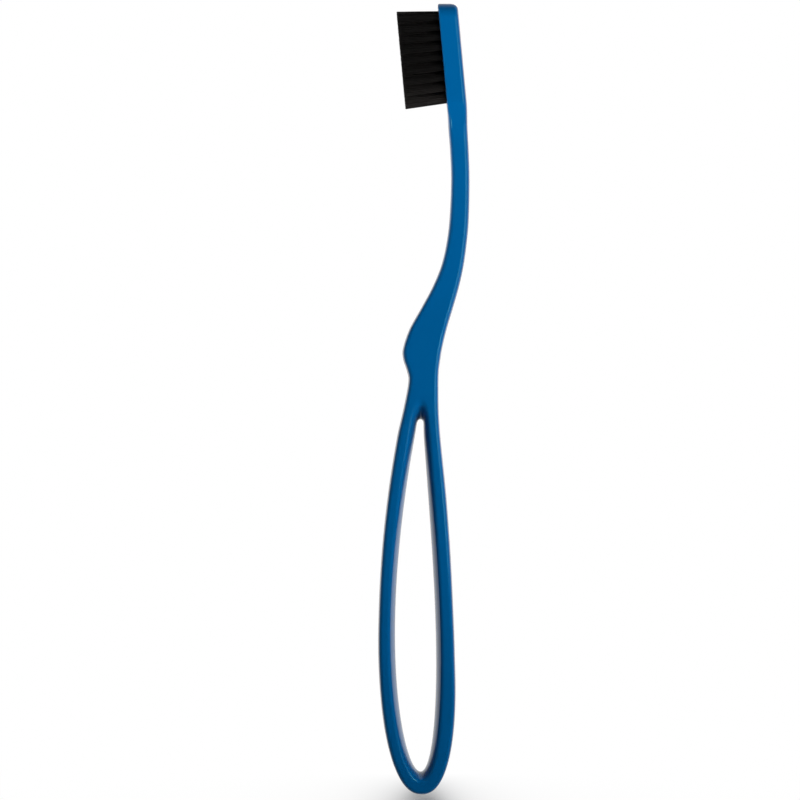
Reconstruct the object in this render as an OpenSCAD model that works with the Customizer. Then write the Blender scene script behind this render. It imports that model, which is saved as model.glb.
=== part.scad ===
// Manual toothbrush with a loop handle, lying on its side.
// x runs from the bristles to the back of the brush, y from the loop's end to the head's end,
// and z up from the surface that the brush lies on. Millimetres.

/* [Brush] */
// Length from the loop's end to the head's end
brush_l = 190; // [184:1:210]
// Width of the grip and the loop, from side to side
grip_w = 13; // [11:0.5:16]
// Radius of the moulded edges
edge_r = 1; // [0.6:0.1:1.2]

/* [Head] */
// Length of the straight head
head_l = 24.5; // [24.4:0.1:30]
// Width of the head
head_w = 11; // [10.4:0.1:14]
// Thickness of the head
head_t = 4.8; // [4:0.1:6]
// Lean of the head toward the bristles, in degrees
head_lean = 5.3; // [0:0.1:12]
// Distance from the middle line to the back of the head where it meets the neck
head_back = 11.2; // [8:0.1:13]
// Length of the rounded end, seen from the front
head_round = 3.5; // [2.6:0.1:3.8]
// Radius of the corner at the back of the head's end
head_corner = 1.4; // [0.4:0.1:1.6]
// Radius of the edges around the tufts
face_edge = 0.5; // [0.3:0.05:0.6]

/* [Neck] */
// Thickness of the neck
neck_t = 4.45; // [3.6:0.05:6]
// Width of the neck, from side to side
neck_w = 5.8; // [4:0.1:8]
// Distance from the middle line to the back of the neck
neck_back = 11.8; // [8:0.1:13]

/* [Thumb rest] */
// Thickness at the crest of the thumb rest
thumb_t = 9.45; // [8:0.05:11]
// Distance from the middle line to the back behind the thumb rest
thumb_back = 5.15; // [4:0.05:7]
// Distance from the waist up to the crest of the thumb rest
thumb_rise = 7.2; // [6:0.1:9]
// Thickness of the waist
waist_t = 7.25; // [6:0.05:8.5]
// Distance from the middle line to the back of the waist
waist_back = 4.35; // [3:0.05:6]
// Distance from the loop's end to the waist
waist_at = 99.6; // [98:0.1:106]

/* [Loop] */
// Depth of the loop at its widest place, from front to back
loop_w = 18.45; // [15:0.05:24]
// Distance from the loop's end to its widest place
belly_at = 32; // [26:0.5:38]
// How far the loop bows toward the bristles
loop_bow = 1.3; // [0:0.05:3]
// Thickness of the loop's two limbs
limb_t = 4.3; // [3.6:0.1:5.4]
// Thickness of the loop's end
end_t = 5.3; // [4.6:0.1:7]
// Length of the opening
hole_l = 84.8; // [70:0.5:85]
// How far the opening's walls swell into it
wall_swell = 1.1; // [0.3:0.1:1.4]
// How far the sides fall away toward the loop's end
end_fall = 1.2; // [0:0.1:2]

/* [Tufts] */
// Number of rows along the head
tuft_rows = 9; // [4:1:9]
// Number of tufts in a full row
tuft_columns = 4; // [3:1:4]
// Distance between rows, which alternate between their outer and their inner tufts
row_pitch = 2.45; // [2.4:0.01:2.5]
// Distance between tufts in a row
column_pitch = 2.4; // [2.4:0.02:2.5]
// Distance from the head's end to the outer tufts of the first row
first_row = 3.25; // [3.2:0.05:3.3]
// Diameter of the tuft holes
tuft_hole_d = 1.7; // [1.4:0.05:1.8]
// Depth of the tuft holes
tuft_hole_depth = 3; // [2.6:0.1:3.3]
// Height of the tufts above the head
tuft_h = 10; // [7:0.5:13]
// Diameter of a tuft at its tips
tuft_tip_d = 2.34; // [1.8:0.02:2.36]
// Lean of the first row toward the head's end, in degrees
first_lean = 2.9; // [0:0.1:4]
// Lean of the last row away from the head's end, in degrees
last_lean = 1; // [0:0.1:2]

/* [Anchors] */
// Thickness of an anchor
anchor_t = 0.3; // [0.2:0.05:0.4]
// Height of an anchor
anchor_h = 1.4; // [1:0.1:1.8]
// How far an anchor bites into the hole's wall at each end
anchor_bite = 0.15; // [0.1:0.01:0.25]

/* [Fits] */
// Gap between a tuft and the wall of its hole
hole_gap = 0.02; // [0.01:0.01:0.05]

/* [Hidden] */
edge_steps = 4;
outer_wall_steps = 2;
hole_wall_steps = 4;
ring_steps = 72;
head_steps = 3;
neck_steps = 30;
corner_steps = 6;
bore_steps = 32;
strands = 8;
points_per_strand = 3;

// Places along the brush
thumb_at = waist_at + thumb_rise;
root_at = brush_l - head_l;
neck_share = 0.7;
neck_at = mix(thumb_at, root_at, neck_share);
fork_at = end_t + hole_l;

// The outer wall swells a little between its edges
outer_swell = 0.25;
// Part of the head's width that is flat at its end
head_flat = 0.3;
// Length of the neck over which the tuft face's edges turn into the neck's
face_fade = 4.5;
// Exponent of the rounded end of the loop, and the part of it below the widest place that is kept
end_power = 2.35;
end_part = 0.6;
// The loop's middle at its widest place and at its end
belly_mid = -0.71 * loop_bow;
end_mid = 0.2 * loop_bow;
// Length over which the sides fall away toward the loop's end
fall_l = 10;
// Length of the scoops above and below the opening, against its rounding along the limbs
top_scoop = 2.9;
bottom_scoop = 1.3;
// Fullness of the opening, how much of it lies near its lower end, and its pinch at half its length
hole_full = 0.875;
hole_taper = 0.39;
hole_pinch = 0.065;
// Extra fullness that rounds the opening's upper end, and how quickly it fades below that end
crown = 0.62;
crown_power = 130;
bow_power = 1.75;
// Turn along the opening, from each end, over which its scoop fades into the limbs, in degrees
scoop_turn = 40;
// Room above the opening's scoop before the two limbs become one
fork_room = 1.5;
split_at = fork_at + top_scoop * (wall_swell + edge_r) + fork_room;
// Where the head starts to narrow to the neck, over what length, and how late the narrowing begins
shoulder_at = root_at + 0.9;
shoulder_l = 9.5;
shoulder_power = 1.35;
// Where the grip starts to narrow to the neck and over what length
grip_at = waist_at + 3.5;
taper_l = 18;
// How far the first row's inner tufts stand nearer to the head's end than its outer ones
end_lead = 0.85;
// Height of the fold under an anchor, chamfer of the folded end and how far a bore's cutter stands out
fold_t = 0.45;
fold_chamfer = 0.35;
cutter_rise = 1;
// The bundle at the face: its share of the hole's width, and how far it starts below the face
bundle_fill = 0.92;
bundle_sink = 0.3;
// Radius in the groove between two strands, as a share of the bundle's radius
groove = 0.88;

function mix(a, b, k) = a + (b - a) * k;
function ease(k) = let (c = max(0, min(1, k))) c * c * (3 - 2 * c);

// Smooth curve through rows of [place, value]
function span_of(rows, x, i = 0) =
    i >= len(rows) - 2 || x < rows[i + 1][0] ? i : span_of(rows, x, i + 1);
function slope_at(rows, i) =
    let (a = rows[max(i - 1, 0)], b = rows[min(i + 1, len(rows) - 1)])
    (b[1] - a[1]) / (b[0] - a[0]);
function curve(rows, x) =
    let (i = span_of(rows, x), a = rows[i], b = rows[i + 1], d = b[0] - a[0], t = (x - a[0]) / d)
    mix(a[1], b[1], t * t * (3 - 2 * t))
    + d * t * (1 - t) * (slope_at(rows, i) * (1 - t) - slope_at(rows, i + 1) * t);

// Front (-1) and back (1) of the rounded end of the loop, up to its widest place
function end_line(y, side) =
    mix(end_mid, belly_mid, y / belly_at)
    + side * loop_w / 2 * pow(1 - pow(1 - y / belly_at, end_power), 1 / end_power);

// Front and back of the head, which is straight apart from the corners at its end
function corner_cut(s, r) = s >= r ? 0 : r - sqrt(r * r - pow(r - s, 2));
function straight_line(y, side) =
    head_back - (y - root_at) * tan(head_lean) - (side < 0 ? head_t / cos(head_lean) : 0);
function head_line(y, side) =
    straight_line(y, side) - side * corner_cut(brush_l - y, side < 0 ? face_edge : head_corner);

// Shape of the line between two named places: [share of the way, share of the change]
front_loop = [[0, 0], [0.2, 0.017], [0.4, 0.124], [0.6, 0.328], [0.8, 0.627], [0.9, 0.837], [1, 1]];
back_loop = [[0, 0], [0.2, 0.12], [0.4, 0.295], [0.6, 0.55], [0.8, 0.89], [0.9, 0.99], [1, 1]];
front_rest = [[0.33, 0.33], [0.67, 0.9], [1, 1]];
back_rest = [[0.33, 0.13], [0.67, 0.53], [1, 1]];
front_sway = [[0.12, 0.137], [0.24, 0.37], [0.36, 0.6], [0.48, 0.78], [0.6, 0.888], [0.75, 0.962], [1, 1]];
back_sway = [[0.12, 0.171], [0.24, 0.389], [0.36, 0.602], [0.48, 0.77], [0.6, 0.88], [0.75, 0.968], [1, 1]];
front_root = [[0.4, 0.27], [0.7, 0.69], [1, 1]];
back_root = [[0.4, 0.35], [0.7, 0.8], [1, 1]];

function stretch(shape, from, to) =
    [for (s = shape) [mix(from[0], to[0], s[0]), mix(from[1], to[1], s[1])]];

function body_rows(side, belly, waist, thumb, neck, loop, rest, sway, root) =
    let (
        below = end_part * belly_at,
        above = root_at + head_l / 4,
        end = [root_at, head_line(root_at, side)]
    )
    concat(
        [[below, end_line(below, side)]],
        stretch(loop, belly, waist),
        stretch(rest, waist, thumb),
        stretch(sway, thumb, neck),
        stretch(root, neck, end),
        [[above, head_line(above, side)]]
    );

front_rows = body_rows(
    -1, [belly_at, belly_mid - loop_w / 2], [waist_at, waist_back - waist_t],
    [thumb_at, thumb_back - thumb_t], [neck_at, neck_back - neck_t],
    front_loop, front_rest, front_sway, front_root
);
back_rows = body_rows(
    1, [belly_at, belly_mid + loop_w / 2], [waist_at, waist_back],
    [thumb_at, thumb_back], [neck_at, neck_back],
    back_loop, back_rest, back_sway, back_root
);

function line(y, side) =
    y < belly_at ? end_line(y, side)
    : y >= root_at ? head_line(y, side)
    : curve(side < 0 ? front_rows : back_rows, y);

// Half of the width from side to side
function half_w(y) =
    y > brush_l - head_round
    ? head_w / 2 * mix(head_flat, 1, sqrt(max(0, 1 - pow(1 - (brush_l - y) / head_round, 2))))
    : y > neck_at ? mix(neck_w, head_w, shoulder_share((y - shoulder_at) / shoulder_l + 1)) / 2
    : mix(grip_w, neck_w, ease((y - grip_at) / taper_l)) / 2
        - end_fall * pow(max(0, 1 - y / fall_l), 2);
function shoulder_share(k) = 1 - pow(1 - pow(max(0, min(1, k)), 2), shoulder_power);

// Outer outline: down the front, around the end and up the back
stem_levels = concat(
    [for (k = [0:corner_steps]) brush_l - head_round * (1 - cos(90 * k / corner_steps))],
    [for (k = [1:head_steps]) mix(brush_l - head_round, shoulder_at, k / head_steps)],
    [for (k = [1:neck_steps - 1]) mix(shoulder_at, split_at, k / neck_steps)]
);
stem_n = len(stem_levels);
function ring_level(k) = split_at * (1 + cos(360 * k / ring_steps)) / 2;
outline = concat(
    [for (y = stem_levels) [line(y, -1), y]],
    [for (k = [0:ring_steps]) let (y = ring_level(k)) [line(y, k < ring_steps / 2 ? -1 : 1), y]],
    [for (k = [stem_n - 1:-1:0]) [line(stem_levels[k], 1), stem_levels[k]]]
);

function inward(i) =
    outline[i][1] > root_at ? [i < stem_n ? 1 : -1, 0]
    : let (t = outline[i + 1] - outline[i - 1]) [-t[1], t[0]] / norm(t);

// Wall from the upper face to the lower one, as [inset, height] for one column of points
function wall(swell, r, half, steps) =
    let (
        guess = atan2(half, 2 * swell),
        turn = atan2(half - r * (1 - cos(guess)), 2 * swell),
        shoulder = half - r * (1 - cos(turn)),
        upper = concat(
            [for (k = [0:edge_steps]) let (a = turn * k / edge_steps)
                [swell + r * (sin(turn) - sin(a)), half - r * (1 - cos(a))]],
            [for (k = [1:steps]) let (z = shoulder * (1 - k / steps)) [swell * pow(z / shoulder, 2), z]]
        )
    )
    concat(upper, [for (k = [len(upper) - 2:-1:0]) [upper[k][0], -upper[k][1]]]);
function column(base, direction, profile) =
    [for (p = profile) [base[0] + direction[0] * p[0], base[1] + direction[1] * p[0], p[1]]];

// The edges by the tufts are sharper, and that face is flat
function face_share(i) = i > stem_n ? 0 : ease((outline[i][1] - root_at) / face_fade + 1);
function outer_column(i) =
    let (
        p = outline[i],
        n = inward(i),
        half = half_w(p[1] + n[1] * edge_r),
        r = min(mix(edge_r, face_edge, face_share(i)), half / 2)
    )
    column(p, n, wall(outer_swell * (1 - face_share(i)), r, half, outer_wall_steps));

// The opening, from its upper end down the front and up the back
function hole_point(turn) =
    let (half = loop_w / 2 - limb_t)
    [
        -loop_bow * pow(abs(sin(turn)), bow_power)
        - half * sin(turn) * (
            hole_full - hole_taper * cos(turn) - hole_pinch * cos(2 * turn)
            + crown * pow(abs(cos(turn / 2)), crown_power)
        ),
        end_t + hole_l * (1 + cos(turn)) / 2,
    ];
function hole_column(k) =
    let (
        turn = 360 * k / ring_steps,
        from_top = min(turn, 360 - turn),
        side = turn < 180 ? -1 : 1,
        up = 90 * sin(min(90, 90 * from_top / scoop_turn)),
        down = 90 * sin(min(90, 90 * (180 - from_top) / scoop_turn)),
        angle = from_top < 90 ? up : 180 - down,
        scoop = mix(1, from_top < 90 ? top_scoop : bottom_scoop, pow(cos(angle), 2)),
        n = [side * sin(angle), scoop * cos(angle)],
        p = hole_point(turn),
        half = half_w(p[1] + n[1] * (wall_swell + edge_r))
    )
    column(p, n, wall(wall_swell, edge_r, half, hole_wall_steps));

// Triangles of a quad, and of a band between columns of points
function quad(a, b, c, d) = [[a, b, c], [a, c, d]];
function band(from, to, size) =
    [for (k = [0:size - 2]) each quad(from + k, to + k, to + k + 1, from + k + 1)];

module handle_form() {
    outer = [for (i = [0:len(outline) - 1]) outer_column(i)];
    hole = [for (k = [0:ring_steps - 1]) hole_column(k)];
    size = len(outer[0]);
    depth = len(hole[0]);
    count = len(outer);
    hole_start = count * size;
    first = stem_n;
    last = stem_n + ring_steps;
    function o(i) = i * size;
    function h(k) = hole_start + (k % ring_steps) * depth;
    walls = concat(
        [for (i = [0:count - 1]) each band(o(i), o((i + 1) % count), size)],
        [for (k = [0:ring_steps - 1]) each band(h(k + 1), h(k), depth)]
    );
    upper = concat(
        [for (i = [0:first - 1]) each quad(o(i), o(count - 1 - i), o(count - 2 - i), o(i + 1))],
        [for (k = [0:ring_steps - 1]) each quad(o(first + k), h(k), h(k + 1), o(first + k + 1))],
        [[o(first), o(last), h(0)]]
    );
    function below(v) = v < hole_start ? v + size - 1 : v + depth - 1;
    lower = [for (t = upper) [below(t[0]), below(t[2]), below(t[1])]];
    points = [for (c = concat(outer, hole)) each c];
    polyhedron(points, concat(walls, upper, lower), convexity = 6);
}

// Frame of the tuft face: x across the head, y along it and z out of the face
module on_face() {
    translate([straight_line(brush_l, -1), brush_l, 0])
        rotate([0, 0, head_lean])
            rotate([0, -90, 0])
                children();
}
function columns_of(row) =
    row == 0 || row == tuft_rows - 1 ? tuft_columns - 1 : tuft_columns;
// Outer tufts of all rows stand in two lines. Inner ones stand nearer to the head's end, between them.
function tuft_place(row, col) =
    let (
        last = columns_of(row) - 1,
        lead = col == 0 || col == last ? 0 : row == 0 ? end_lead : row_pitch / 2
    )
    [(col / last - 0.5) * (tuft_columns - 1) * column_pitch, lead - first_row - row * row_pitch, 0];
module at_each_tuft() {
    for (row = [0:tuft_rows - 1])
        for (col = [0:columns_of(row) - 1])
            translate(tuft_place(row, col))
                children();
}

// Anchor at its depth in a hole, with the bundle folded under it
module anchor() {
    translate([-anchor_t / 2, -tuft_hole_d / 2 - anchor_bite, fold_t - tuft_hole_depth])
        cube([anchor_t, tuft_hole_d + 2 * anchor_bite, anchor_h]);
}

module handle() {
    color([0, 0.29, 0.52])
        difference() {
            handle_form();
            on_face()
                at_each_tuft() {
                    translate([0, 0, -tuft_hole_depth])
                        cylinder(d = tuft_hole_d, h = tuft_hole_depth + cutter_rise, $fn = bore_steps);
                    anchor();
                }
        }
}

// Ring of points around a bundle of strands, with a groove between strands
ring_n = points_per_strand * strands;
function bundle_ring(r, centre, z) =
    [for (k = [0:ring_n - 1]) let (a = 360 * k / ring_n, g = k % points_per_strand == 0 ? groove : 1)
        [r * g * cos(a), centre + r * g * sin(a), z]];

// The bundle above the face, which starts a little below it
module bundle(lean) {
    shift = tan(lean) * tuft_h;
    base = bundle_ring(bundle_fill * tuft_hole_d / 2, 0, -bundle_sink);
    tips = bundle_ring(tuft_tip_d / 2, shift, tuft_h);
    function next(k) = (k + 1) % ring_n;
    sides = [for (k = [0:ring_n - 1]) each quad(k, ring_n + k, ring_n + next(k), next(k))];
    foot = 2 * ring_n;
    top = foot + 1;
    ends = [for (k = [0:ring_n - 1]) each [[foot, k, next(k)], [top, ring_n + next(k), ring_n + k]]];
    polyhedron(
        concat(base, tips, [[0, 0, -bundle_sink], [0, shift, tuft_h]]), concat(sides, ends),
        convexity = 4
    );
}

// The folded end of a bundle in its hole
module plug() {
    r = tuft_hole_d / 2 - hole_gap;
    rotate_extrude($fn = bore_steps)
        polygon([
            [0, -tuft_hole_depth], [r - fold_chamfer, -tuft_hole_depth],
            [r, fold_chamfer - tuft_hole_depth], [r, 0], [0, 0],
        ]);
}

module tuft(row, col) {
    color([0.06, 0.06, 0.07])
        on_face()
            translate(tuft_place(row, col))
                difference() {
                    union() {
                        plug();
                        bundle(mix(first_lean, -last_lean, row / (tuft_rows - 1)));
                    }
                    anchor();
                }
}

module anchors() {
    color([0.72, 0.62, 0.36])
        on_face()
            at_each_tuft()
                anchor();
}

// Moves the brush so that its box stands on z = 0 with its middle at the origin
xs = [for (p = outline) p[0]];
module placed() {
    translate([-(min(xs) + max(xs)) / 2, -brush_l / 2, grip_w / 2])
        children();
}

function tuft_name(row, col) = str("tuft_", row + 1, "_", col + 1);

placed() handle();
placed() anchors();
for (row = [0:tuft_rows - 1])
    for (col = [0:columns_of(row) - 1])
        placed() tuft(row, col);
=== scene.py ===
"""Looks of a manual toothbrush with a loop handle, which lies on its side on a white floor.

x runs from the bristles to the back of the brush, y from the loop's end to the head's end and z up.
Shapes are worked out in millimetres, as in the construction, and become metres in mesh_object.
Materials, lights and the camera are in metres.
"""

import math
import random

import bpy
from mathutils import Matrix, Vector


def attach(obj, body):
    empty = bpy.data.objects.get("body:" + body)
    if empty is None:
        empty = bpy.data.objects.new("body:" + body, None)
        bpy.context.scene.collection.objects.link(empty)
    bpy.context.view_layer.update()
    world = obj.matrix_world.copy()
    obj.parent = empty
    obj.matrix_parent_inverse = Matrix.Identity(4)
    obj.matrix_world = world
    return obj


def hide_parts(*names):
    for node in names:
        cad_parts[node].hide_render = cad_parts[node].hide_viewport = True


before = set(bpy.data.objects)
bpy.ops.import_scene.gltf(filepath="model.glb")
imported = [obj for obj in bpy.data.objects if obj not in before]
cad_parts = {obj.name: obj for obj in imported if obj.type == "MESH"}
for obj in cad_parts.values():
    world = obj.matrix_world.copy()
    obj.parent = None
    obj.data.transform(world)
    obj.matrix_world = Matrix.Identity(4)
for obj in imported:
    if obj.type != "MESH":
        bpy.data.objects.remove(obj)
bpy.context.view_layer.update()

MM = 0.001

# The whole brush: its length, the width of the grip from side to side and the radius of its edges
BRUSH_L = 190
GRIP_W = 13
EDGE_R = 1

# Head. Names that end in BACK are distances from the middle line to the back, here at the head's root.
# HEAD_ROUND is the length of its rounded end, and HEAD_CORNER the radius at the back of that end.
HEAD_L = 24.5
HEAD_W = 11
HEAD_T = 4.8
HEAD_LEAN = math.radians(5.3)
HEAD_BACK = 11.2
HEAD_ROUND = 3.5
HEAD_CORNER = 1.4
# Part of the head's width that is flat at its end, and radius of the edges around the tufts
HEAD_FLAT = 0.3
FACE_EDGE = 0.5

# Neck, its shoulder by the head, the taper from the grip, and the length over which the tuft face fades
NECK_T = 4.45
NECK_W = 5.8
NECK_BACK = 11.8
NECK_SHARE = 0.7
SHOULDER_RISE = 0.9
SHOULDER_L = 9.5
SHOULDER_POWER = 1.35
TAPER_RISE = 3.5
TAPER_L = 18
FACE_FADE = 4.5

# Thumb rest and waist: their thickness, back and place
THUMB_T = 9.45
THUMB_BACK = 5.15
THUMB_RISE = 7.2
WAIST_T = 7.25
WAIST_BACK = 4.35
WAIST_AT = 99.6

# Loop: from front to back at its belly, how far it bows to the front, its limbs, end and opening
LOOP_W = 18.45
BELLY_AT = 32
LOOP_BOW = 1.3
LIMB_T = 4.3
END_T = 5.3
HOLE_L = 84.8
# How far the walls swell between their edges, and how far the sides fall away toward the loop's end
WALL_SWELL = 1.1
OUTER_SWELL = 0.25
END_FALL = 1.2
FALL_L = 10
# Exponent of the loop's rounded end, the part of it that is kept, and the loop's middle at belly and end
END_POWER = 2.35
END_PART = 0.6
BELLY_MID = -0.71 * LOOP_BOW
END_MID = 0.2 * LOOP_BOW
# Length of the scoops against the opening's rounding, the turn over which they fade and the room above
TOP_SCOOP = 2.9
BOTTOM_SCOOP = 1.3
SCOOP_TURN = 40
FORK_ROOM = 1.5
# Fullness of the opening, how much of it lies near its lower end, and its pinch at half its length
HOLE_FULL = 0.875
HOLE_TAPER = 0.39
HOLE_PINCH = 0.065
# Extra fullness that rounds the opening's upper end, how quickly it fades, and the opening's bow
CROWN = 0.62
CROWN_POWER = 130
BOW_POWER = 1.75

# Tufts: FIRST_ROW is counted from the head's end, and END_LEAD is that of the first row's inner tufts
TUFT_ROWS = 9
TUFT_COLUMNS = 4
ROW_PITCH = 2.45
COLUMN_PITCH = 2.4
FIRST_ROW = 3.25
END_LEAD = 0.85
TUFT_HOLE_D = 1.7
TUFT_HOLE_DEPTH = 3
TUFT_H = 10
TUFT_TIP_D = 2.34
# Lean of the first row toward the head's end and of the last row away from it, in degrees
FIRST_LEAN = 2.9
LAST_LEAN = 1

# Filaments: their number in a tuft, how far a tip strays, the share by which a length differs, and the
# seed of these draws
FILAMENT_D = 0.17
FILAMENT_FOOT = 1.2
FILAMENTS = 46
STRAY = 0.06
LENGTH_SPREAD = 0.006
SEED = 7

# Places along the brush
THUMB_AT = WAIST_AT + THUMB_RISE
GRIP_AT = WAIST_AT + TAPER_RISE
ROOT_AT = BRUSH_L - HEAD_L
SHOULDER_AT = ROOT_AT + SHOULDER_RISE
NECK_AT = THUMB_AT + (ROOT_AT - THUMB_AT) * NECK_SHARE
FORK_AT = END_T + HOLE_L
SPLIT_AT = FORK_AT + TOP_SCOOP * (WALL_SWELL + EDGE_R) + FORK_ROOM

# Fineness of the moulded surface
EDGE_STEPS = 9
OUTER_WALL_STEPS = 4
HOLE_WALL_STEPS = 12
RING_STEPS = 320
CORNER_STEPS = 18
HEAD_STEPS = 12
NECK_STEPS = 110
DRILL_SIDES = 40
FILAMENT_SIDES = 6
SHARP_EDGE = math.radians(35)
SHADING_WEIGHT = 80


def mix(a, b, k):
    return a + (b - a) * k


def ease(k):
    c = max(0.0, min(1.0, k))
    return c * c * (3 - 2 * c)


def slope_at(rows, i):
    """Slope at one row of a curve, from the rows on either side of it."""
    before = rows[max(i - 1, 0)]
    after = rows[min(i + 1, len(rows) - 1)]
    return (after[1] - before[1]) / (after[0] - before[0])


def curve(rows, x):
    """Value at x on the smooth curve through rows of (place, value)."""
    i = 0
    while i < len(rows) - 2 and x >= rows[i + 1][0]:
        i += 1
    a = rows[i]
    b = rows[i + 1]
    d = b[0] - a[0]
    t = (x - a[0]) / d
    bend = slope_at(rows, i) * (1 - t) - slope_at(rows, i + 1) * t
    return mix(a[1], b[1], t * t * (3 - 2 * t)) + d * t * (1 - t) * bend


def end_line(y, side):
    """Front (-1) or back (1) of the rounded end of the loop, up to its widest place."""
    reach = (1 - (1 - y / BELLY_AT) ** END_POWER) ** (1 / END_POWER)
    return mix(END_MID, BELLY_MID, y / BELLY_AT) + side * LOOP_W / 2 * reach


def corner_cut(s, r):
    """How much a corner of radius r takes away at the distance s from the end."""
    return 0 if s >= r else r - math.sqrt(r * r - (r - s) ** 2)


def straight_line(y, side):
    """Front or back of the head without the corners at its end."""
    back = HEAD_BACK - (y - ROOT_AT) * math.tan(HEAD_LEAN)
    return back if side > 0 else back - HEAD_T / math.cos(HEAD_LEAN)


def head_line(y, side):
    r = HEAD_CORNER if side > 0 else FACE_EDGE
    return straight_line(y, side) - side * corner_cut(BRUSH_L - y, r)


# Shape of the line between two named places: (share of the way, share of the change)
FRONT_LOOP = [(0, 0), (0.2, 0.017), (0.4, 0.124), (0.6, 0.328), (0.8, 0.627), (0.9, 0.837), (1, 1)]
BACK_LOOP = [(0, 0), (0.2, 0.12), (0.4, 0.295), (0.6, 0.55), (0.8, 0.89), (0.9, 0.99), (1, 1)]
FRONT_REST = [(0.33, 0.33), (0.67, 0.9), (1, 1)]
BACK_REST = [(0.33, 0.13), (0.67, 0.53), (1, 1)]
FRONT_SWAY = [(0.12, 0.137), (0.24, 0.37), (0.36, 0.6), (0.48, 0.78), (0.6, 0.888), (0.75, 0.962), (1, 1)]
BACK_SWAY = [(0.12, 0.171), (0.24, 0.389), (0.36, 0.602), (0.48, 0.77), (0.6, 0.88), (0.75, 0.968), (1, 1)]
FRONT_ROOT = [(0.4, 0.27), (0.7, 0.69), (1, 1)]
BACK_ROOT = [(0.4, 0.35), (0.7, 0.8), (1, 1)]


def body_rows(side, belly, waist, thumb, neck, loop, rest, sway, root):
    """Rows of the front or back line, from below the loop's belly to the head."""
    below = END_PART * BELLY_AT
    above = ROOT_AT + HEAD_L / 4
    places = [(BELLY_AT, belly), (WAIST_AT, waist), (THUMB_AT, thumb), (NECK_AT, neck)]
    places.append((ROOT_AT, head_line(ROOT_AT, side)))
    rows = [(below, end_line(below, side))]
    for shape, start, end in zip((loop, rest, sway, root), places, places[1:]):
        rows += [(mix(start[0], end[0], s), mix(start[1], end[1], v)) for s, v in shape]
    return rows + [(above, head_line(above, side))]


FRONT_ROWS = body_rows(
    -1, BELLY_MID - LOOP_W / 2, WAIST_BACK - WAIST_T, THUMB_BACK - THUMB_T, NECK_BACK - NECK_T,
    FRONT_LOOP, FRONT_REST, FRONT_SWAY, FRONT_ROOT,
)
BACK_ROWS = body_rows(
    1, BELLY_MID + LOOP_W / 2, WAIST_BACK, THUMB_BACK, NECK_BACK,
    BACK_LOOP, BACK_REST, BACK_SWAY, BACK_ROOT,
)


def line(y, side):
    """Front or back of the brush."""
    if y < BELLY_AT:
        return end_line(y, side)
    if y >= ROOT_AT:
        return head_line(y, side)
    return curve(FRONT_ROWS if side < 0 else BACK_ROWS, y)


def half_w(y):
    """Half of the width from side to side."""
    if y > BRUSH_L - HEAD_ROUND:
        round_share = math.sqrt(max(0.0, 1 - (1 - (BRUSH_L - y) / HEAD_ROUND) ** 2))
        return HEAD_W / 2 * mix(HEAD_FLAT, 1, round_share)
    if y > NECK_AT:
        k = max(0.0, min(1.0, (y - SHOULDER_AT) / SHOULDER_L + 1))
        return mix(NECK_W, HEAD_W, 1 - (1 - k * k) ** SHOULDER_POWER) / 2
    fall = END_FALL * max(0.0, 1 - y / FALL_L) ** 2
    return mix(GRIP_W, NECK_W, ease((y - GRIP_AT) / TAPER_L)) / 2 - fall


# Outer outline: down the front, around the loop's end and up the back
STEM_LEVELS = [
    BRUSH_L - HEAD_ROUND * (1 - math.cos(math.pi / 2 * k / CORNER_STEPS)) for k in range(CORNER_STEPS + 1)
]
STEM_LEVELS += [mix(BRUSH_L - HEAD_ROUND, SHOULDER_AT, k / HEAD_STEPS) for k in range(1, HEAD_STEPS + 1)]
STEM_LEVELS += [mix(SHOULDER_AT, SPLIT_AT, k / NECK_STEPS) for k in range(1, NECK_STEPS)]
STEM_N = len(STEM_LEVELS)
OUTLINE = [(line(y, -1), y) for y in STEM_LEVELS]
for k in range(RING_STEPS + 1):
    level = SPLIT_AT * (1 + math.cos(2 * math.pi * k / RING_STEPS)) / 2
    OUTLINE.append((line(level, -1 if k < RING_STEPS / 2 else 1), level))
OUTLINE += [(line(y, 1), y) for y in reversed(STEM_LEVELS)]
X_MID = (min(p[0] for p in OUTLINE) + max(p[0] for p in OUTLINE)) / 2


def in_frame(x, y, z):
    """A point of the construction, whose origin is at the loop's end, in the brush's own frame."""
    return (x - X_MID, y - BRUSH_L / 2, z + GRIP_W / 2)


def inward(i):
    """Direction from the outline into the plastic: level on the head, and square to the line below it."""
    level_way = 1 if i < STEM_N else -1
    if i in (0, len(OUTLINE) - 1):
        return (level_way, 0)
    before = OUTLINE[i - 1]
    after = OUTLINE[i + 1]
    length = math.dist(before, after)
    square = ((before[1] - after[1]) / length, (after[0] - before[0]) / length)
    share = ease((OUTLINE[i][1] - ROOT_AT + SHOULDER_L) / SHOULDER_L)
    way = (mix(square[0], level_way, share), mix(square[1], 0, share))
    return (way[0] / math.hypot(*way), way[1] / math.hypot(*way))


def wall(swell, r, half, steps):
    """Wall from the upper side to the lower one: (inset, height) for one column of points.

    Its edges are arcs of radius r, which turn until they meet the slope of the swollen part.
    """
    guess = math.atan2(half, 2 * swell)
    turn = math.atan2(half - r * (1 - math.cos(guess)), 2 * swell)
    shoulder = half - r * (1 - math.cos(turn))
    upper = []
    for k in range(EDGE_STEPS + 1):
        a = turn * k / EDGE_STEPS
        upper.append((swell + r * (math.sin(turn) - math.sin(a)), half - r * (1 - math.cos(a))))
    for k in range(1, steps + 1):
        z = shoulder * (1 - k / steps)
        upper.append((swell * (z / shoulder) ** 2, z))
    return upper + [(inset, -z) for inset, z in reversed(upper[:-1])]


def column(base, way, profile):
    """A wall's profile, set inward from a point of an outline."""
    return [(base[0] + way[0] * inset, base[1] + way[1] * inset, z) for inset, z in profile]


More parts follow.
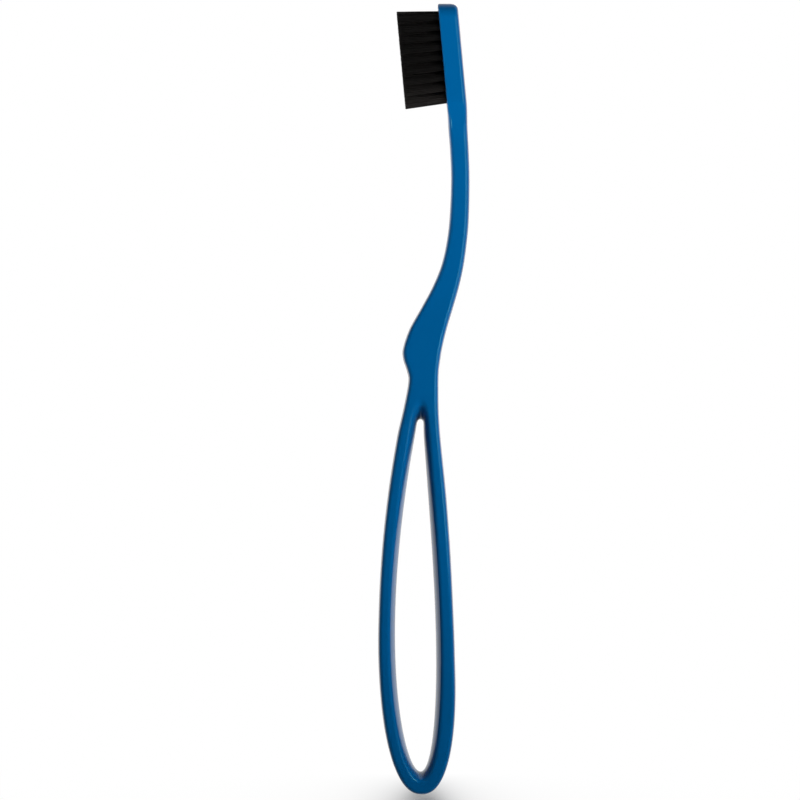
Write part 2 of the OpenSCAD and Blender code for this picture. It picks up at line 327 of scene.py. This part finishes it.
def outer_column(i):
    """Wall at one point of the outline. On the head its edges are sharper, and it is flat."""
    p = OUTLINE[i]
    n = inward(i)
    share = 0 if i > STEM_N else ease((p[1] - ROOT_AT) / FACE_FADE + 1)
    half = half_w(p[1] + n[1] * EDGE_R)
    r = min(mix(EDGE_R, FACE_EDGE, share), half / 2)
    return column(p, n, wall(OUTER_SWELL * (1 - share), r, half, OUTER_WALL_STEPS))


def hole_point(turn):
    """A point of the opening's outline, at half the width of the brush."""
    half = LOOP_W / 2 - LIMB_T
    fullness = HOLE_FULL - HOLE_TAPER * math.cos(turn) - HOLE_PINCH * math.cos(2 * turn)
    fullness += CROWN * abs(math.cos(turn / 2)) ** CROWN_POWER
    bow = LOOP_BOW * abs(math.sin(turn)) ** BOW_POWER
    return (-bow - half * math.sin(turn) * fullness, END_T + HOLE_L * (1 + math.cos(turn)) / 2)


def hole_column(k):
    """Wall of the opening, from its upper end down the front and up the back. Both ends are scooped out."""
    turn = 360 * k / RING_STEPS
    from_top = min(turn, 360 - turn)
    side = -1 if turn < 180 else 1
    from_end = min(from_top, 180 - from_top)
    swing = 90 * math.sin(math.radians(min(90, 90 * from_end / SCOOP_TURN)))
    angle = math.radians(swing if from_top < 90 else 180 - swing)
    scoop = mix(1, TOP_SCOOP if from_top < 90 else BOTTOM_SCOOP, math.cos(angle) ** 2)
    n = (side * math.sin(angle), scoop * math.cos(angle))
    p = hole_point(math.radians(turn))
    half = half_w(p[1] + n[1] * (WALL_SWELL + EDGE_R))
    return column(p, n, wall(WALL_SWELL, EDGE_R, half, HOLE_WALL_STEPS))


def band(start, end, size):
    """Quads between two columns of points."""
    return [(start + k, end + k, end + k + 1, start + k + 1) for k in range(size - 1)]


def handle_mesh():
    """Points and faces of the moulded handle, without its tuft holes."""
    outer = [outer_column(i) for i in range(len(OUTLINE))]
    hole = [hole_column(k) for k in range(RING_STEPS)]
    size = len(outer[0])
    depth = len(hole[0])
    count = len(outer)
    hole_start = count * size
    last = STEM_N + RING_STEPS

    def on_outer(i):
        return i % count * size

    def on_hole(k):
        return hole_start + k % RING_STEPS * depth

    faces = []
    for i in range(count):
        faces += band(on_outer(i), on_outer(i + 1), size)
    for k in range(RING_STEPS):
        faces += band(on_hole(k + 1), on_hole(k), depth)
    upper = [(on_outer(STEM_N), on_outer(last), on_hole(0))]
    for i in range(STEM_N):
        upper.append((on_outer(i), on_outer(count - 1 - i), on_outer(count - 2 - i), on_outer(i + 1)))
    for k in range(RING_STEPS):
        upper.append((on_outer(STEM_N + k), on_hole(k), on_hole(k + 1), on_outer(STEM_N + k + 1)))
    lower = [[v + (size if v < hole_start else depth) - 1 for v in reversed(f)] for f in upper]
    points = [in_frame(*p) for c in outer + hole for p in c]
    return points, faces + upper + lower


def mesh_object(name, points, faces):
    """A smooth-shaded object from points in millimetres."""
    mesh = bpy.data.meshes.new(name)
    mesh.from_pydata([Vector(p) * MM for p in points], [], faces)
    mesh.validate()
    mesh.shade_smooth()
    obj = bpy.data.objects.new(name, mesh)
    bpy.context.scene.collection.objects.link(obj)
    return obj


# Tufts on the head, in rows and columns
def columns_of(row):
    return TUFT_COLUMNS - 1 if row in (0, TUFT_ROWS - 1) else TUFT_COLUMNS


# From a tuft's own frame, with z along it and y to the head's end, to its place on the head
ON_FACE = (
    Matrix.Translation(in_frame(straight_line(BRUSH_L, -1), BRUSH_L, 0))
    @ Matrix.Rotation(HEAD_LEAN, 4, "Z")
    @ Matrix.Rotation(-math.pi / 2, 4, "Y")
)


def tuft_place(row, col):
    """Foot of a tuft. Inner tufts stand nearer to the head's end than the outer ones of their row."""
    last = columns_of(row) - 1
    lead = 0
    if 0 < col < last:
        lead = END_LEAD if row == 0 else ROW_PITCH / 2
    across = (col / last - 0.5) * (TUFT_COLUMNS - 1) * COLUMN_PITCH
    return Vector((across, lead - FIRST_ROW - row * ROW_PITCH, 0))


TUFTS = [(row, col) for row in range(TUFT_ROWS) for col in range(columns_of(row))]


def ring(centre, r, z, sides):
    """Points around a centre, at the height z."""
    turns = [2 * math.pi * k / sides for k in range(sides)]
    return [Vector((centre[0] + r * math.cos(a), centre[1] + r * math.sin(a), z)) for a in turns]


def tube_faces(start, sides, rings):
    """Closed tube over rings of points that follow each other."""
    faces = [tuple(reversed(range(start, start + sides)))]
    for j in range(rings - 1):
        a = start + j * sides
        for k in range(sides):
            n = (k + 1) % sides
            faces.append((a + k, a + n, a + sides + n, a + sides + k))
    top = start + (rings - 1) * sides
    faces.append(tuple(range(top, top + sides)))
    return faces


def cut_tuft_holes(handle):
    """Drills the blind holes that hold the tufts."""
    rise = 1
    points = []
    faces = []
    for row, col in TUFTS:
        place = tuft_place(row, col)
        faces += tube_faces(len(points), DRILL_SIDES, 2)
        for z in (-TUFT_HOLE_DEPTH, rise):
            points += [ON_FACE @ p for p in ring(place, TUFT_HOLE_D / 2, z, DRILL_SIDES)]
    drills = mesh_object("tuft_drills", points, faces)
    cut = handle.modifiers.new("tuft_holes", "BOOLEAN")
    cut.operation = "DIFFERENCE"
    cut.solver = "EXACT"
    cut.object = drills
    done = bpy.data.meshes.new_from_object(handle.evaluated_get(bpy.context.evaluated_depsgraph_get()))
    handle.modifiers.clear()
    handle.data = done
    bpy.data.objects.remove(drills)


def make_handle():
    """The moulded handle, with even shading across its small faces."""
    handle = mesh_object("handle_moulding", *handle_mesh())
    cut_tuft_holes(handle)
    handle.data.shade_smooth()
    handle.data.set_sharp_from_angle(angle=SHARP_EDGE)
    even = handle.modifiers.new("even_shading", "WEIGHTED_NORMAL")
    even.keep_sharp = True
    even.weight = SHADING_WEIGHT
    return handle


# Rings of a filament: (height above the head, share of its radius), from inside the hole to the rounded tip
FILAMENT_RINGS = [(-FILAMENT_FOOT, 1)] + [(TUFT_H * k / 4, 1) for k in range(4)]
FILAMENT_RINGS += [(TUFT_H - 0.15, 1), (TUFT_H - 0.04, 0.82), (TUFT_H, 0.4)]
# Turn from each filament to the next, which spreads them evenly
GOLDEN_TURN = math.pi * (3 - math.sqrt(5))


def make_tuft(row, col, rng):
    """One tuft of separate filaments, close together in their hole and spread at their rounded tips."""
    place = tuft_place(row, col)
    lean = math.tan(math.radians(mix(FIRST_LEAN, -LAST_LEAN, row / (TUFT_ROWS - 1))))
    foot_r = TUFT_HOLE_D / 2 - FILAMENT_D / 2
    tip_r = TUFT_TIP_D / 2 - FILAMENT_D / 4
    rings = len(FILAMENT_RINGS)
    points = []
    faces = []
    start_turn = rng.uniform(0, 2 * math.pi)
    for k in range(FILAMENTS):
        share = math.sqrt((k + 0.5) / FILAMENTS)
        turn = start_turn + k * GOLDEN_TURN
        way = Vector((math.cos(turn), math.sin(turn), 0)) * share
        stray = Vector((rng.gauss(0, STRAY), rng.gauss(0, STRAY), 0))
        length = 1 + rng.uniform(-LENGTH_SPREAD, LENGTH_SPREAD)
        faces += tube_faces(len(points), FILAMENT_SIDES, rings)
        for z, r_share in FILAMENT_RINGS:
            up = max(0.0, z / TUFT_H)
            r = mix(foot_r, tip_r, up)
            centre = place + way * r + stray * up * up + Vector((0, lean * z, 0))
            points += ring(centre, FILAMENT_D / 2 * r_share, z * length, FILAMENT_SIDES)
    return mesh_object(f"filaments_{row + 1}_{col + 1}", [ON_FACE @ p for p in points], faces)


# Materials: what is the same all over each of them
WHITE = (1, 1, 1, 1)
PLASTIC = {
    "IOR": 1.47,
    "Specular IOR Level": 0.32,
    "Specular Tint": (0.12, 0.38, 0.34, 1),
    "Sheen Weight": 0.2,
    "Sheen Roughness": 0.3,
}
NYLON = {"Roughness": 0.5, "IOR": 1.4, "Specular IOR Level": 0.2}
WIRE = {"Base Color": (0.6, 0.42, 0.13, 1), "Metallic": 1}
FLOOR = {"Base Color": (0.6, 0.6, 0.6, 1), "Roughness": 0.9, "Specular IOR Level": 0}

# Darkest and lightest blue of the plastic and black of the nylon
BLUES = (0.0, 0.098, 0.29, 1), (0.0, 0.106, 0.31, 1)
BLACKS = (0.0014, 0.0012, 0.0011, 1), (0.02, 0.0178, 0.0168, 1)

# Grains a metre, and detail, of the noise in each material
TONE_CLOUDS = 60, 3
GLOSS_CLOUDS = 220, 4
SKIN_GRAIN = 3500, 2
WIRE_MARKS = 4000, 2
# Most of the noise lies between these values
NOISE_SPAN = 0.3, 0.7
PLASTIC_ROUGHNESS = 0.13, 0.17
WIRE_ROUGHNESS = 0.25, 0.45
SKIN_STRENGTH = 0.05
SKIN_DEPTH = 0.00002

# Share of the lighter black: of each filament by chance, then towards the tips, then painted light towards
# the neck, where light falls on the lower rows, and below the uppermost tufts, which lifts their shade, as
# (axis, place with none, place with all, share)
CHANCE_SHARE = 0.05, 0.14
LIGHTER_TIPS_AND_PAINTED_LIGHT = [("X", -0.002, -0.011, 0.11), ("Y", 0.0775, 0.0718, 0.6), ("Z", 0.0102, 0.009, 0.5)]

# Levels of the floor's glow in reflections, which paint the brush's reflections dimmer beside it, most at
# its back, and beyond the head, and dimming of the world's light: (axis, start, end, level at start, level
# at end)
PAINTED_REFLECTIONS = [("X", -0.006, -0.002, 0.7, 1), ("X", 0.004, 0.0075, 1, 0.4), ("Y", 0.0935, 0.098, 1, 0.1)]
WORLD = [("Z", 0.2, 0.6, 0.5, 0.05), ("Y", 0.2, 0.8, 1, 0.1)]

# Shadow painted on the floor at the loop's end, where the floor's glow gives way to its grey lit surface and
# the real shadow on it:
# its centre and reach on the floor in metres, and its strength
SHADOW_X, SHADOW_Y = 0.0005, -0.0975
SHADOW_REACH_X, SHADOW_REACH_Y = 0.0053, 0.0067
SHADOW_STRENGTH = 1.1


class Tree:
    """Shader nodes of a material or a world."""

    def __init__(self, owner):
        owner.use_nodes = True
        self.nodes = owner.node_tree.nodes
        self.links = owner.node_tree.links

    def add(self, kind):
        return self.nodes.new("ShaderNode" + kind)

    def feed(self, socket, value):
        """Sets a socket from another one, or to a plain value."""
        if isinstance(value, bpy.types.NodeSocket):
            self.links.new(value, socket)
        else:
            socket.default_value = value

    def parts(self, which):
        """x, y and z of a point of an object, in metres, or of a direction of the world."""
        out = self.add("SeparateXYZ")
        self.feed(out.inputs[0], self.add("TexCoord").outputs[which])
        return out.outputs

    def noise(self, grains, detail):
        """Noise over the object's own coordinates."""
        out = self.add("TexNoise")
        out.inputs["Scale"].default_value = grains
        out.inputs["Detail"].default_value = detail
        self.feed(out.inputs["Vector"], self.add("TexCoord").outputs["Object"])
        return out.outputs["Fac"]

    def ramp(self, value, start, end, low, high, smooth=False):
        """Low at start, high at end, and held beyond them."""
        out = self.add("MapRange")
        if smooth:
            out.interpolation_type = "SMOOTHSTEP"
        for name, number in (("From Min", start), ("From Max", end), ("To Min", low), ("To Max", high)):
            out.inputs[name].default_value = number
        self.feed(out.inputs["Value"], value)
        return out.outputs["Result"]

    def calc(self, operation, first, *others):
        """Sum, product and the like of sockets and plain numbers, from left to right."""
        for other in others or (0,):
            out = self.add("Math")
            out.operation = operation
            self.feed(out.inputs[0], first)
            self.feed(out.inputs[1], other)
            first = out.outputs[0]
        return first

    def between(self, share, dark, light):
        """A colour between two others."""
        out = self.add("Mix")
        out.data_type = "RGBA"
        out.inputs["A"].default_value = dark
        out.inputs["B"].default_value = light
        self.feed(out.inputs["Factor"], share)
        return out.outputs["Result"]


def material(name, settings):
    """A new material, its nodes, and its shader with the settings on its own sockets."""
    made = bpy.data.materials.new(name)
    tree = Tree(made)
    shader = tree.nodes["Principled BSDF"]
    for socket, value in settings.items():
        shader.inputs[socket].default_value = value
    return made, tree, shader


def plastic_material():
    """Opaque moulded plastic, a little cloudy in tone and in its soft gloss, with a faint skin."""
    made, tree, shader = material("blue_plastic", PLASTIC)
    gloss = tree.ramp(tree.noise(*GLOSS_CLOUDS), *NOISE_SPAN, *PLASTIC_ROUGHNESS)
    skin = tree.add("Bump")
    skin.inputs["Strength"].default_value = SKIN_STRENGTH
    skin.inputs["Distance"].default_value = SKIN_DEPTH
    tree.feed(skin.inputs["Height"], tree.noise(*SKIN_GRAIN))
    tree.feed(shader.inputs["Base Color"], tree.between(tree.noise(*TONE_CLOUDS), *BLUES))
    tree.feed(shader.inputs["Roughness"], gloss)
    tree.feed(shader.inputs["Normal"], skin.outputs["Normal"])
    return made


def filament_material():
    """Black nylon, a little different on each filament, lighter towards the tips, and painted lighter
    towards the neck and below the uppermost tufts as light and lifted shade.
    """
    made, tree, shader = material("black_nylon", NYLON)
    place = tree.parts("Object")
    chance = tree.ramp(tree.add("NewGeometry").outputs["Random Per Island"], 0, 1, *CHANCE_SHARE)
    # Painted light: the lighter black towards the neck stands in for light on the lower rows, and below the
    # uppermost tufts it lifts their shade
    lighter = [tree.ramp(place[axis], start, end, 0, share) for axis, start, end, share in LIGHTER_TIPS_AND_PAINTED_LIGHT]
    tree.feed(shader.inputs["Base Color"], tree.between(tree.calc("ADD", chance, *lighter), *BLACKS))
    return made


def wire_material():
    """Drawn brass wire, with fine marks."""
    made, tree, shader = material("anchor_wire", WIRE)
    tree.feed(shader.inputs["Roughness"], tree.ramp(tree.noise(*WIRE_MARKS), *NOISE_SPAN, *WIRE_ROUGHNESS))
    return made


def floor_material():
    """White to the camera, with painted reflections that are dimmer in places, and a painted soft shadow at
    the loop's end over the real one.
    """
    made, tree, shader = material("white_floor", FLOOR)
    place = tree.parts("Object")
    # Painted shadow at the loop's end: here the floor's glow gives way to its grey, lamp-lit surface, with
    # the real shadow on it
    across = tree.calc("DIVIDE", tree.calc("SUBTRACT", place["X"], SHADOW_X), SHADOW_REACH_X)
    along = tree.calc("DIVIDE", tree.calc("SUBTRACT", place["Y"], SHADOW_Y), SHADOW_REACH_Y)
    near = tree.calc("MAXIMUM", tree.calc("SUBTRACT", 1, tree.calc("ABSOLUTE", along)), 0)
    shade = tree.calc("DIVIDE", near, tree.calc("ADD", 1, tree.calc("MULTIPLY", across, across)))
    rays = tree.add("LightPath").outputs
    # Painted reflections: the floor glows in the brush's reflections, less beside the brush, most at its
    # back, and beyond the head
    levels = [tree.ramp(place[axis], *stretch) for axis, *stretch in PAINTED_REFLECTIONS]
    seen = tree.calc("MAXIMUM", rays["Is Camera Ray"], tree.calc("MULTIPLY", rays["Is Glossy Ray"], *levels))
    unshaded = tree.calc("SUBTRACT", 1, tree.calc("MULTIPLY", shade, SHADOW_STRENGTH))
    glow = tree.add("Emission")
    glow.inputs["Color"].default_value = WHITE
    both = tree.add("MixShader")
    tree.feed(both.inputs["Fac"], tree.calc("MULTIPLY", seen, unshaded))
    tree.feed(both.inputs[1], shader.outputs["BSDF"])
    tree.feed(both.inputs[2], glow.outputs["Emission"])
    tree.feed(tree.nodes["Material Output"].inputs["Surface"], both.outputs["Shader"])
    return made


# Half of the floor's width, and its drop below the brush so that the two don't meet, in millimetres
FLOOR_REACH = 2500
FLOOR_DROP = 0.05


def make_floor():
    ways = ((-1, -1), (1, -1), (1, 1), (-1, 1))
    corners = [(x * FLOOR_REACH, y * FLOOR_REACH, -FLOOR_DROP) for x, y in ways]
    floor = mesh_object("floor", corners, [(0, 1, 2, 3)])
    floor.data.materials.append(floor_material())


def make_world():
    """A studio that is white to the camera, and whose light fades overhead and beyond the head."""
    world = bpy.data.worlds.new("studio")
    bpy.context.scene.world = world
    tree = Tree(world)
    way = tree.parts("Generated")
    levels = [tree.ramp(way[axis], *stretch, smooth=True) for axis, *stretch in WORLD]
    seen = tree.add("LightPath").outputs["Is Camera Ray"]
    sky = tree.nodes["Background"]
    sky.inputs["Color"].default_value = WHITE
    tree.feed(sky.inputs["Strength"], tree.calc("MAXIMUM", seen, tree.calc("MULTIPLY", *levels)))


# Soft lights: name, place, target and size in metres, power in watts, full angle of the beam in degrees
LIGHTS = [
    ("key", (0.17, 0.07, 0.18), (0, 0.085, 0), (0.22, 0.3), 0.192, 61),
    ("head_light", (-0.19, -0.04, 0.14), (0, 0.105, 0), (0.1, 0.04), 0.0165, 26),
    ("loop_light", (0.2, 0.02, 0.2), (0, -0.1, 0), (0.2, 0.1), 0.045, 40),
    ("fill", (-0.25, 0.06, 0.27), (0, -0.08, 0), (0.3, 0.3), 0.03, 76),
]


def softbox(name, place, target, size, power, beam):
    """A soft studio light that is aimed at a target."""
    light = bpy.data.lights.new(name, "AREA")
    light.shape = "RECTANGLE"
    light.size, light.size_y = size
    light.energy = power
    light.spread = math.radians(beam)
    lamp = bpy.data.objects.new(name, light)
    bpy.context.scene.collection.objects.link(lamp)
    lamp.location = place
    lamp.rotation_euler = (Vector(target) - Vector(place)).to_track_quat("-Z", "Y").to_euler()


# Camera: width of the picture, its centre at half the brush's height, and the camera's rise above that, in
# metres, and the width of the sensor in millimetres
PICTURE_W = 0.19265
PICTURE_CENTRE = Vector((-0.00574, -0.00024, GRIP_W / 2 * MM))
CAMERA_RISE = 1.0
SENSOR_W = 36


def make_camera():
    """Straight above the brush, with the head at the top of the picture."""
    data = bpy.data.cameras.new("camera")
    data.sensor_width = SENSOR_W
    data.lens = SENSOR_W * CAMERA_RISE / PICTURE_W
    camera = bpy.data.objects.new("camera", data)
    bpy.context.scene.collection.objects.link(camera)
    camera.location = PICTURE_CENTRE + Vector((0, 0, CAMERA_RISE))
    bpy.context.scene.camera = camera


handle = make_handle()
handle.data.materials.clear()
handle.data.materials.append(plastic_material())
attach(handle, "root")
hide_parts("handle")

nylon = filament_material()
draws = random.Random(SEED)
for row, col in TUFTS:
    tuft = make_tuft(row, col, draws)
    tuft.data.materials.append(nylon)
    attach(tuft, "root")
    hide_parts(f"tuft_{row + 1}_{col + 1}")

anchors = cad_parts["anchors"]
anchors.data.materials.clear()
anchors.data.materials.append(wire_material())

make_floor()
make_world()
for light in LIGHTS:
    softbox(*light)
make_camera()
bpy.context.scene.view_settings.view_transform = "Standard"
